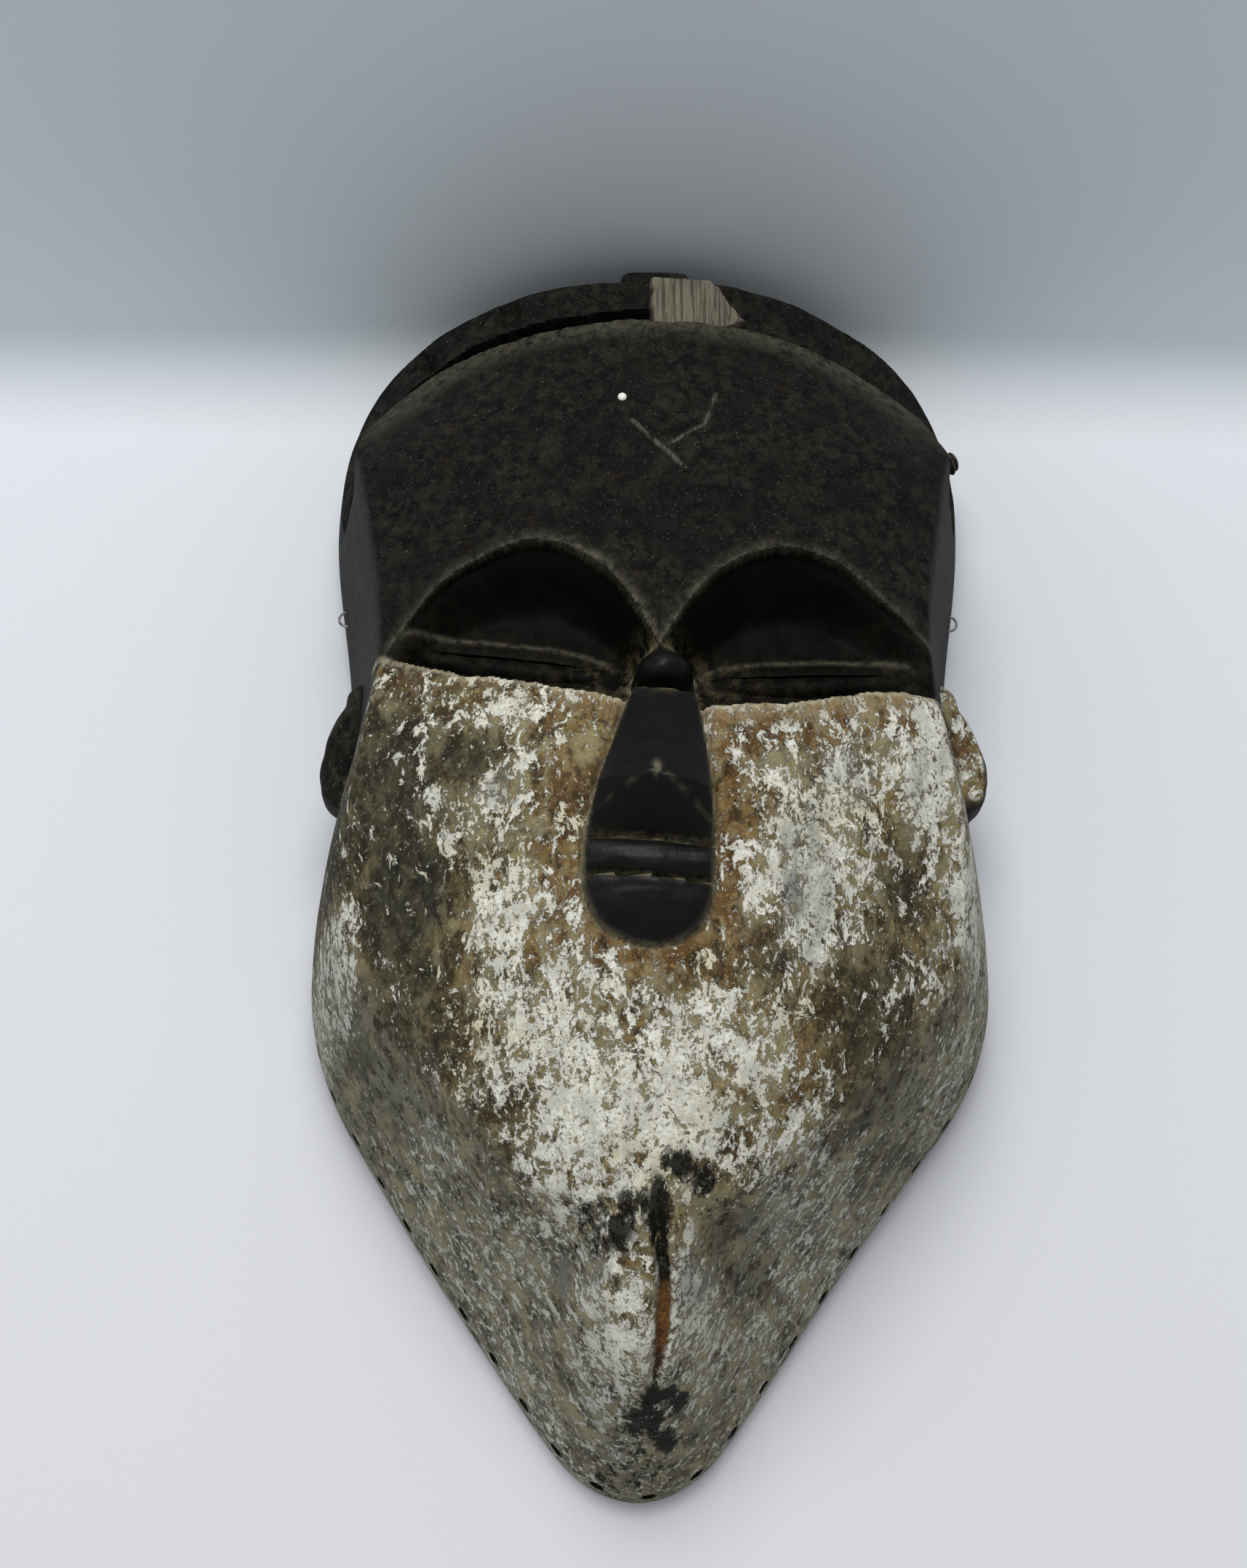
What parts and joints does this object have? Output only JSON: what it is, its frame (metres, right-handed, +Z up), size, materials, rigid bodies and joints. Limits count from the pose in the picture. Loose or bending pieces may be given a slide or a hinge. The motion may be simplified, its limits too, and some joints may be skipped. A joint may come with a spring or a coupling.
{
  "type": "carved wooden face mask",
  "caption": "Hollow carved wooden face mask with pierced slit eyes, a long pointed jaw drilled for lacing, a crest peg and a swinging hanging wire.",
  "frame": {"origin": "on the flat back rim at the chin, on the mid-plane of the face, where the mask touches the wall; the middle of the leaning jaw's rim is 4.2 mm to -X of it", "axes": "+Z up the face from chin to crest, -Y out of the face, +X to the right as the face is looked at"},
  "size_m": [0.209, 0.118, 0.38],
  "materials": {
    "carved_wood": "hand-carved wood, black stain on the forehead and flaking white clay over brown on the face",
    "peg_wood": "dark polished wood",
    "pin_bone": "pale bone-like pin head",
    "iron_wire": "dull weathered iron wire"
  },
  "bodies": {
    "mask": {"carved_shell": "carved_wood", "crest_peg": "peg_wood", "forehead_pin": "pin_bone"},
    "hanger": {"hanging_wire": "iron_wire"},
    "left_loop": {"left_temple_loop": "iron_wire"},
    "right_loop": {"right_temple_loop": "iron_wire"}
  },
  "joints": [
    {"name": "hanging_wire_swing", "type": "hinge", "parent": "mask", "child": "hanger", "pos_m": [0, -0.008, 0.2696], "axis": [1, 0, 0], "range_deg": [-45, 45]},
    {"name": "left_loop_slide", "type": "slide", "parent": "mask", "child": "left_loop", "axis": [1, 0, 0], "range_m": [0, 0.0008]},
    {"name": "right_loop_slide", "type": "slide", "parent": "mask", "child": "right_loop", "axis": [-1, 0, 0], "range_m": [0, 0.0008]}
  ]
}
